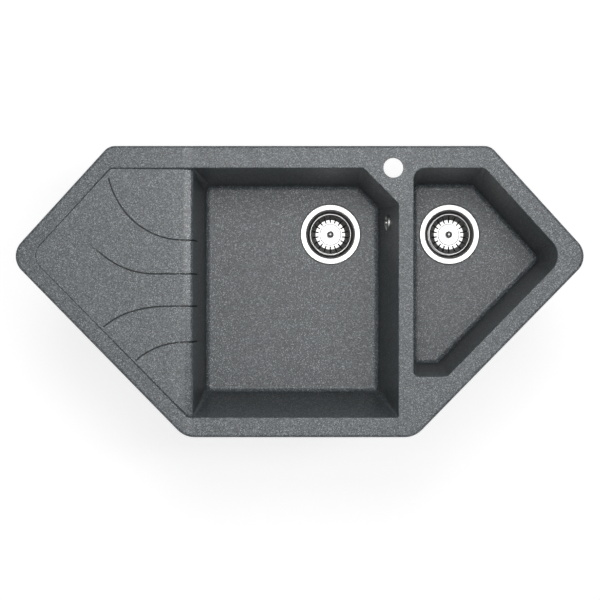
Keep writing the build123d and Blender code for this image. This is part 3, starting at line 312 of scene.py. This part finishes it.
    def length(self, at: Signal) -> Signal:
        """The distance from the origin."""
        node = self.make("ShaderNodeVectorMath", {"operation": "LENGTH"}, {0: at})
        return Signal(self, node.outputs["Value"])

    def relief(self, height: Signal, depth: float, strength: float = 1.0) -> Signal:
        """A bumpy normal.

        Args:
            height: The height, from 0 to 1.
            depth: The real height of 1, in metres.
            strength: How strongly it shows.

        Returns:
            The normal.
        """
        node = self.make("ShaderNodeBump", None, {"Height": height, "Distance": depth, "Strength": strength})
        return Signal(self, node.outputs["Normal"])

    def served(self, sockets: Mapping[str, Any]) -> bpy.types.Material:
        """Ends the material.

        Args:
            sockets: The Principled shader's values and signals, by socket name.

        Returns:
            The finished material.
        """
        shader = self.make("ShaderNodeBsdfPrincipled", None, sockets)
        self.make("ShaderNodeOutputMaterial", None, {"Surface": Signal(self, shader.outputs["BSDF"])})
        return self.material


# ------------------------------------------------------------------ finishes


@dataclass(frozen=True)
class Grooves:
    """Where the drainer's grooves are: just under its floor, its dip and the bowl's left wall, in metres."""

    bowl_x: float = -0.1885
    floor_z: float = 0.002
    rise: float = 0.0196
    dip_drop: float = 0.005
    dip_rise: float = 0.2279
    wall_lean: float = 0.0755
    edge_rounding: float = 0.0098
    shallow: float = 0.0006
    deep: float = 0.0036
    reach_y: float = 0.2
    foot_z: float = -0.09
    rim_lines: tuple[Colour, ...] = ((-0.7393, 0.6734, 0.4212), (-0.7150, -0.6991, 0.3242))
    rim_width: float = 0.03

    def mask(self, recipe: Recipe, at: Signal) -> Signal:
        """Finds the grooves.

        Args:
            recipe: The tree.
            at: The place.

        Returns:
            1 in a groove and 0 elsewhere.
        """
        x, y, z = recipe.axes(at)
        back = self.bowl_x - x
        floor = self.floor_z + self.rise * back - z
        dip = self.floor_z - self.dip_drop + self.dip_rise * back - z
        wall = back - self.wall_lean * z
        depth = recipe.lesser(recipe.lesser(floor, dip), wall, self.edge_rounding)
        inside = recipe.spread(depth, self.shallow, 2.0 * self.shallow) * depth.below(self.deep)
        inside = inside * z.above(self.foot_z) * (y * y).below(self.reach_y**2)
        for along_x, along_y, distance in self.rim_lines:
            inside = inside * (distance - along_x * x - along_y * y).above(self.rim_width)
        return inside


@dataclass(frozen=True)
class Walls:
    """Where the moulding stands upright, told from its height and its roundings, in metres."""

    floor_z: float = -0.180
    floor_r: float = 0.010
    lip_z: float = 0.008
    lip_r: float = 0.002
    drainer_x: float = -0.1885
    roll_z: float = -0.0095
    roll_r: float = 0.0065
    steep: float = 0.04
    flat: float = 0.45

    def mask(self, recipe: Recipe, at: Signal) -> Signal:
        """Finds the walls.

        Args:
            recipe: The tree.
            at: The place.

        Returns:
            1 on a wall and 0 on a floor, the drainer or the rim's top, soft over a rounding.
        """
        x, _, z = recipe.axes(at)
        foot = (self.floor_z + self.floor_r - z) / self.floor_r
        lip = (z - self.lip_z) / self.lip_r
        roll = (z - self.roll_z) / self.roll_r
        drainer = x.below(self.drainer_x)
        level = foot * foot * z.below(self.floor_z + self.floor_r)
        level = level + lip * lip * z.above(self.lip_z) * (1.0 - drainer)
        level = level + roll * roll * z.above(self.roll_z) * drainer
        return 1.0 - recipe.spread(level, self.steep, self.flat)


@dataclass(frozen=True)
class Granite:
    """Satin composite of quartz sand in a dark binder, moulded in one piece."""

    binder: Colour = (0.134, 0.150, 0.161)
    dark_grain: Colour = (0.034, 0.041, 0.048)
    pale_grain: Colour = (0.46, 0.49, 0.51)
    grains_per_metre: float = 540.0
    sand_per_metre: float = 980.0
    # Near-black painted shade for the drainer's grooves.
    groove_painted_shade: Colour = (0.006, 0.006, 0.006)
    # Painted shade for the bowls' inside, as a factor on the colour.
    bowl_painted_shade: float = 0.78
    # Painted shade for the walls' foot, as a factor on the colour.
    wall_foot_painted_shade: float = 0.60
    pale_share: float = 0.20
    dark_share: float = 0.24
    worn_edge: tuple[float, float] = (-0.2045, -0.1915)
    worn_fade: float = 0.004
    worn_floor_z: float = -0.012
    worn_gloss: float = 0.17
    grit: float = 0.00016

    def cook(self) -> bpy.types.Material:
        """Makes the material.

        Returns:
            The composite with its pale and dark grains, and painted shade in the bowls, at the walls' foot
            and in the drainer's grooves.
        """
        recipe = Recipe("granite")
        at = recipe.place()
        far, own = recipe.grains(at, self.grains_per_metre)
        sand_far, sand_own = recipe.grains(at, self.sand_per_metre)
        body = 1.0 - recipe.spread(far, 0.34, 0.56)
        pale = body * own.above(1.0 - self.pale_share)
        dark = body * own.below(self.dark_share)
        sand = recipe.spread(sand_own, 0.0, 1.0, (0.40, 1.58))
        cloud = recipe.spread(recipe.noise(at, 38.0, 3.0), 0.3, 0.7, (0.95, 1.05))
        x, _, z = recipe.axes(at)
        upright = Walls().mask(recipe, at)
        # Painted shade: the colour darkens below the rim, inside the bowls.
        tone = recipe.spread(z, -0.07, -0.01, (self.bowl_painted_shade, 1.0))
        # Painted shade: the walls darken towards their foot and lighten a little near the top.
        foot = recipe.spread(z, -0.18, 0.0, (self.wall_foot_painted_shade, 1.08))
        tone = tone * (upright * foot + (1.0 - upright))
        colour = recipe.tinted(self.binder, sand * cloud * tone)
        colour = recipe.blend(pale * 0.75, colour, self.pale_grain)
        colour = recipe.blend(dark * 0.8, colour, self.dark_grain)
        groove = Grooves().mask(recipe, at)
        # Painted shade: the drainer's grooves are darkened nearly to black.
        colour = recipe.blend(groove * 0.72, colour, self.groove_painted_shade)
        gloss = 0.34 + 0.14 * recipe.noise(at, 240.0, 2.0) - 0.10 * pale + 0.3 * groove
        low, high = self.worn_edge
        fade = self.worn_fade
        worn = recipe.spread(x, low - fade, low + fade) * (1.0 - recipe.spread(x, high, high + fade))
        worn = worn * z.above(self.worn_floor_z)
        gloss = gloss - self.worn_gloss * worn
        height = 0.5 * recipe.noise(at, 900.0, 3.0) + 0.3 * body * own + 0.2 * sand_far
        height = height * (1.0 - 0.7 * worn)
        return recipe.served({
            "Base Color": colour,
            "Roughness": gloss,
            "IOR": 1.5,
            "Normal": recipe.relief(height, self.grit, 0.55),
        })


@dataclass(frozen=True)
class Steel:
    """Bright steel that was turned and polished about an upright axis."""

    name: str
    tint: Colour
    roughness: float
    ring_pitch: float = 0.0006
    centres: tuple[Colour, ...] = ()
    # A ring of painted shade about each waste's axis, where the basket's sloping wall lies, and how dark it
    # is.
    shade_ring: tuple[float, float] = (0.0276, 0.0364)
    ring_shade_strength: float = 0.58
    # Painted shade in the joint at the basket cap's edge: the thin dark ring's radius, half width and
    # darkness.
    seam_r: float = 0.0198
    seam_half: float = 0.0007
    seam_painted_shade: float = 0.75
    ring_edge: float = 0.0006
    axis_reach: float = 0.1
    # Below this height the ring of painted shade is darker still, down in the strainer cup.
    deep_shade_z: float = -0.204
    deep_shade_strength: float = 0.9

    def cook(self) -> bpy.types.Material:
        """Makes the material.

        Returns:
            The steel with its faint polishing rings and rubbed marks, and painted shade in rings about the
            wastes' axes and in the joint at the basket cap's edge.
        """
        recipe = Recipe(self.name)
        at = recipe.place()
        rubbed = recipe.noise(at, 160.0, 4.0, 0.6)
        hairs = recipe.noise(recipe.mapped(at, stretch=(60.0, 900.0, 900.0)), 1.0, 2.0)
        patina = recipe.spread(recipe.noise(at, 24.0, 3.0), 0.35, 0.7, (0.94, 1.02))
        rings = hairs
        dull_and_shade = seam = 0.0
        deep = recipe.axes(at)[2].below(self.deep_shade_z)
        for number, centre in enumerate(self.centres):
            x, y, _ = recipe.axes(recipe.mapped(at, centre=centre))
            flat = recipe.make("ShaderNodeCombineXYZ", None, {"X": x, "Y": y})
            out = recipe.length(Signal(recipe, flat.outputs["Vector"]))
            near = out.below(self.axis_reach)
            lathe = recipe.noise(self._radial(recipe, out, number), 1.0, 1.0)
            rings = near * lathe + (1.0 - near) * rings
            # Painted shade in a ring about the axis.
            inner, outer = self.shade_ring
            rising = recipe.spread(out, inner - self.ring_edge, inner)
            dull_and_shade = dull_and_shade + rising * (1.0 - recipe.spread(out, outer, outer + self.ring_edge))
            # Painted shade: a thin dark ring in the joint at the cap's edge.
            gap = out - self.seam_r
            seam = seam + (1.0 - recipe.spread(gap * gap, 0.0, self.seam_half**2))
        gloss = self.roughness + 0.10 * (rubbed - 0.5) + 0.08 * (rings - 0.5)
        # Painted shade: the ring darkens the colour, and more so down in the strainer cup.
        shade = (1.0 - self.ring_shade_strength * dull_and_shade) * (1.0 - self.deep_shade_strength * deep * dull_and_shade)
        shade = shade * (1.0 - self.seam_painted_shade * seam)
        height = 0.7 * rings + 0.3 * hairs
        return recipe.served({
            "Base Color": recipe.tinted(self.tint, patina * shade),
            "Metallic": 1.0,
            "Roughness": gloss,
            "Normal": recipe.relief(height, 0.000004, 0.6),
        })

    def _radial(self, recipe: Recipe, out: Signal, number: int) -> Signal:
        """A place that changes only outwards, for the polishing rings.

        Args:
            recipe: The tree.
            out: The distance from the axis.
            number: The axis, so that no two have the same rings.

        Returns:
            The place, a ring pitch to each unit.
        """
        node = recipe.make(
            "ShaderNodeCombineXYZ", None, {"X": out / self.ring_pitch, "Y": 7.3 * number + 0.5}
        )
        return Signal(recipe, node.outputs["Vector"])


@dataclass(frozen=True)
class Brass:
    """Turned brass of the threaded inserts."""

    tint: Colour = (0.70, 0.52, 0.24)

    def cook(self) -> bpy.types.Material:
        """Makes the material.

        Returns:
            The brass, slightly dulled.
        """
        recipe = Recipe("brass")
        at = recipe.place()
        dull_and_shade = recipe.spread(recipe.noise(at, 300.0, 3.0), 0.4, 0.65)
        lathe = recipe.noise(recipe.mapped(at, stretch=(1.0, 1.0, 5200.0)), 1.0, 1.0)
        return recipe.served({
            "Base Color": recipe.blend(dull_and_shade * 0.6, self.tint, (0.42, 0.28, 0.12)),
            "Metallic": 1.0,
            "Roughness": 0.26 + 0.16 * dull_and_shade,
            "Normal": recipe.relief(lathe, 0.00002, 0.5),
        })


@dataclass(frozen=True)
class Plastic:
    """Moulded polypropylene with a fine spark-eroded grain."""

    name: str
    tint: Colour
    deep: Colour
    roughness: float

    def cook(self) -> bpy.types.Material:
        """Makes the material.

        Returns:
            The plastic with faint flow marks and grain.
        """
        recipe = Recipe(self.name)
        at = recipe.place()
        streaks = recipe.noise(recipe.mapped(at, stretch=(14.0, 14.0, 34.0)), 1.0, 3.0)
        flow = recipe.spread(streaks, 0.35, 0.7)
        grain = recipe.noise(at, 1900.0, 2.0)
        wave = recipe.noise(at, 120.0, 2.0)
        return recipe.served({
            "Base Color": recipe.blend(flow * 0.5, self.tint, self.deep),
            "Roughness": self.roughness + 0.10 * (grain - 0.5) + 0.08 * flow,
            "Normal": recipe.relief(0.7 * grain + 0.3 * wave, 0.00005, 0.5),
        })


@dataclass(frozen=True)
class Rubber:
    """Matt moulded rubber with a little dust in its pores."""

    tint: Colour = (0.022, 0.022, 0.023)
    dust: Colour = (0.060, 0.058, 0.055)

    def cook(self) -> bpy.types.Material:
        """Makes the material.

        Returns:
            The rubber.
        """
        recipe = Recipe("black_rubber")
        at = recipe.place()
        dusty = recipe.spread(recipe.noise(at, 420.0, 4.0, 0.65), 0.45, 0.75)
        pores = recipe.noise(at, 2600.0, 2.0)
        return recipe.served({
            "Base Color": recipe.blend(dusty, self.tint, self.dust),
            "Roughness": 0.58 + 0.22 * dusty,
            "Normal": recipe.relief(pores, 0.00006, 0.5),
        })


@dataclass(frozen=True)
class SealTape:
    """Closed-cell foam tape."""

    tint: Colour = (0.052, 0.053, 0.055)
    cell: Colour = (0.018, 0.018, 0.019)

    def cook(self) -> bpy.types.Material:
        """Makes the material.

        Returns:
            The foam with its cut cells.
        """
        recipe = Recipe("seal_foam")
        at = recipe.place()
        far, own = recipe.grains(at, 1400.0)
        pit = (1.0 - recipe.spread(far, 0.1, 0.5)) * own
        return recipe.served({
            "Base Color": recipe.blend(pit, self.tint, self.cell),
            "Roughness": 0.86 + 0.08 * own,
            "Normal": recipe.relief(1.0 - pit, 0.0002, 0.7),
        })


class Palette:
    """Every finish, cooked once, by the record's slots."""

    def __init__(self, waste_axes: tuple[Colour, ...]) -> None:
        """Cooks the finishes.

        Args:
            waste_axes: The upright axes that the wastes' steel was turned about.
        """
        finishes: dict[Slot, Any] = {
            Slot.GRANITE: Granite(),
            Slot.POLISHED_STEEL: Steel("polished_steel", (0.63, 0.63, 0.62), 0.42, centres=waste_axes),
            Slot.ZINC_STEEL: Steel("zinc_steel", (0.66, 0.68, 0.71), 0.32),
            Slot.BRASS: Brass(),
            Slot.BLACK_RUBBER: Rubber(),
            Slot.SEAL_FOAM: SealTape(),
            Slot.WHITE_PLASTIC: Plastic("white_plastic", (0.80, 0.80, 0.78), (0.72, 0.72, 0.69), 0.38),
            Slot.GREY_PLASTIC: Plastic("grey_plastic", (0.20, 0.21, 0.22), (0.16, 0.17, 0.18), 0.44),
        }
        self.materials = {slot: finish.cook() for slot, finish in finishes.items()}

    def dress(self, piece: bpy.types.Object, slot: Slot) -> None:
        """Gives a piece its material.

        Args:
            piece: A CAD node.
            slot: The finish.
        """
        if not piece.data.materials:
            piece.data.materials.append(self.materials[slot])
        for held in piece.material_slots:
            held.material = self.materials[slot]

    def dress_nodes(self, nodes: Iterable[str], slot: Slot) -> None:
        """Gives CAD nodes their material.

        Args:
            nodes: The nodes' names.
            slot: The finish.
        """
        for name in nodes:
            self.dress(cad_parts[name], slot)
            LOG.info("%s: %s", name, slot.value)


# ------------------------------------------------------------------ sub-assemblies


@dataclass
class SinkBody:
    """The moulded body and the tape under its rim."""

    def dress(self, palette: Palette) -> None:
        """Dresses the moulding and its tape."""
        palette.dress_nodes(("sink_body",), Slot.GRANITE)
        palette.dress_nodes(("rim_seal",), Slot.SEAL_FOAM)


@dataclass
class BasketWaste:
    """One basket strainer waste, with the basket that lifts out of it."""

    number: int

    def dress(self, palette: Palette) -> None:
        """Dresses the waste's steel, rubber and plastic.

        Args:
            palette: The finishes.
        """
        n = self.number
        steel = ("strainer_cup", "clamp_screw", "basket", "basket_cap", "basket_knob")
        palette.dress_nodes((f"{name}_{n}" for name in steel), Slot.POLISHED_STEEL)
        palette.dress_nodes((f"basket_nut_{n}",), Slot.ZINC_STEEL)
        rubber = ("body_gasket", "basket_stopper", "tail_washer")
        palette.dress_nodes((f"{name}_{n}" for name in rubber), Slot.BLACK_RUBBER)
        palette.dress_nodes((f"flange_seal_{n}",), Slot.SEAL_FOAM)
        palette.dress_nodes((f"waste_body_{n}",), Slot.WHITE_PLASTIC)
        palette.dress_nodes((f"tail_nut_{n}",), Slot.GREY_PLASTIC)


@dataclass
class Overflow:
    """The overflow outlet, its housing behind the bowl and its pipe."""

    def dress(self, palette: Palette) -> None:
        """Dresses the cover and what is behind it.

        Args:
            palette: The finishes.
        """
        palette.dress_nodes(("overflow_cover", "overflow_screw"), Slot.POLISHED_STEEL)
        palette.dress_nodes(("overflow_seal",), Slot.BLACK_RUBBER)
        plastic = ("overflow_body", "overflow_pipe", "overflow_nut_upper", "overflow_nut_lower")
        palette.dress_nodes(plastic, Slot.WHITE_PLASTIC)


@dataclass
class FixingClips:
    """The clips that pull the rim down on the worktop."""

    def dress(self, palette: Palette) -> None:
        """Dresses inserts, screws and jaws."""
        palette.dress_nodes(("clip_inserts",), Slot.BRASS)
        palette.dress_nodes(("clip_screws", "clip_jaws"), Slot.ZINC_STEEL)


@dataclass
class Pipework:
    """The tee, the elbow from the second waste, the bottle trap and the outlet."""

    def dress(self, palette: Palette) -> None:
        """Dresses the pipes, nuts and washers.

        Args:
            palette: The finishes.
        """
        palette.dress_nodes(("tee", "link_elbow", "trap_body", "outlet_pipe"), Slot.WHITE_PLASTIC)
        palette.dress_nodes(("link_nut", "trap_nut", "trap_cup", "outlet_nut"), Slot.GREY_PLASTIC)
        washers = ("link_washer", "trap_washer", "trap_cup_seal", "outlet_washer")
        palette.dress_nodes(washers, Slot.BLACK_RUBBER)


# ------------------------------------------------------------------ studio


@dataclass
class Softbox:
    """A large soft light."""

    name: str
    centre: Colour
    aim: Colour
    size: tuple[float, float]
    glow: float

    def build(self) -> bpy.types.Object:
        """Makes the light.

        Returns:
            The light, turned to its aim.
        """
        light = bpy.data.lights.new(self.name, "AREA")
        light.shape = "RECTANGLE"
        light.size, light.size_y = self.size
        light.energy = self.glow * math.pi * self.size[0] * self.size[1]
        lamp = bpy.data.objects.new(self.name, light)
        lamp.location = self.centre
        lamp.rotation_euler = (Vector(self.aim) - Vector(self.centre)).to_track_quat("-Z", "Y").to_euler()
        bpy.context.scene.collection.objects.link(lamp)
        return lamp


@dataclass
class Studio:
    """A pale floor, soft light and the camera straight above."""

    floor_drop: float = 0.0012
    floor_reach: float = 9.0
    camera_place: Colour = (0.0006, -0.0148, 2.987)
    lens: float = 101.6
    sky_top: float = 0.10
    sky_edge: float = 0.03

    def build(self) -> None:
        """Makes the floor, the lights, the sky and the camera."""
        self._floor()
        self._sky()
        for box in (
            Softbox("overhead", (0.0, 0.0, 3.7), (0.0, 0.0, 0.0), (1.1, 1.1), 5.2),
            Softbox("back", (0.0, 1.35, 3.7), (0.0, 0.0, 0.0), (1.3, 1.3), 8.4),
            Softbox("front", (0.0, -1.35, 3.7), (0.0, 0.0, 0.0), (1.3, 1.3), 2.8),
            Softbox("right", (1.28, 0.3, 3.7), (0.0, 0.0, 0.0), (0.5, 1.4), 9.0),
            Softbox("left", (-1.7, 0.0, 3.7), (0.0, 0.0, 0.0), (0.5, 1.8), 1.6),
        ):
            box.build()
        self._camera()

    def _floor(self) -> None:
        """Makes the pale floor just under the trap."""
        mesh = bpy.data.meshes.new("floor")
        plan = bmesh.new()
        bmesh.ops.create_grid(plan, x_segments=2, y_segments=2, size=self.floor_reach)
        bmesh.ops.translate(plan, verts=plan.verts, vec=(0, 0, CAD_BOX[0].z - self.floor_drop))
        plan.to_mesh(mesh)
        plan.free()
        floor = bpy.data.objects.new("floor", mesh)
        bpy.context.scene.collection.objects.link(floor)
        recipe = Recipe("pale_floor")
        at = recipe.place()
        tone = recipe.spread(recipe.noise(at, 3.0, 3.0), 0.3, 0.7, (0.985, 1.0))
        paper = recipe.make("ShaderNodeBsdfPrincipled", None, {
            "Base Color": recipe.tinted((0.56, 0.56, 0.56), tone),
            "Roughness": 0.8,
            "Emission Color": (1.0, 1.0, 1.0),
            "Emission Strength": 0.72,
        })
        clear = recipe.make("ShaderNodeBsdfTransparent")
        back = Signal(recipe, recipe.make("ShaderNodeNewGeometry").outputs["Backfacing"])
        sheet = recipe.make("ShaderNodeMixShader", None, {
            0: back,
            1: Signal(recipe, paper.outputs["BSDF"]),
            2: Signal(recipe, clear.outputs["BSDF"]),
        })
        recipe.make("ShaderNodeOutputMaterial", None, {"Surface": Signal(recipe, sheet.outputs["Shader"])})
        mesh.materials.append(recipe.material)

    def _sky(self) -> None:
        """Makes a sky that is brightest overhead."""
        world = bpy.data.worlds.new("studio_sky")
        world.use_nodes = True
        bpy.context.scene.world = world
        recipe = Recipe("studio_sky", world.node_tree)
        way = Signal(recipe, recipe.make("ShaderNodeTexCoord").outputs["Generated"])
        _, _, up = recipe.axes(way)
        glow = recipe.spread(up, 0.0, 1.0, (self.sky_edge, self.sky_top))
        light = recipe.make("ShaderNodeBackground", None, {"Color": (0.985, 0.99, 1.0), "Strength": glow})
        recipe.make("ShaderNodeOutputWorld", None, {"Surface": Signal(recipe, light.outputs["Background"])})

    def _camera(self) -> None:
        """Places the camera above the rim, looking straight down."""
        lens = bpy.data.cameras.new("camera")
        lens.lens = self.lens
        lens.sensor_width = 36.0
        lens.clip_start, lens.clip_end = 0.05, 50.0
        camera = bpy.data.objects.new("camera", lens)
        camera.location = self.camera_place
        bpy.context.scene.collection.objects.link(camera)
        bpy.context.scene.camera = camera
        bpy.context.scene.view_settings.view_transform = "Standard"
        bpy.context.scene.view_settings.look = "None"


def axis_of(node: str) -> Colour:
    """The middle of a CAD node's box, in metres."""
    low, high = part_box(node)
    return tuple((low + high) / 2.0)


def main() -> None:
    """Dresses the sub-assemblies in order, then builds the studio."""
    logging.basicConfig(level=logging.INFO, format="%(name)s %(message)s")
    palette = Palette((axis_of("strainer_cup_1"), axis_of("strainer_cup_2")))
    for part in (SinkBody(), BasketWaste(1), BasketWaste(2), Overflow(), FixingClips(), Pipework()):
        part.dress(palette)
        LOG.info("%s done", type(part).__name__)
    Studio().build()


if __name__ == "__main__":
    main()
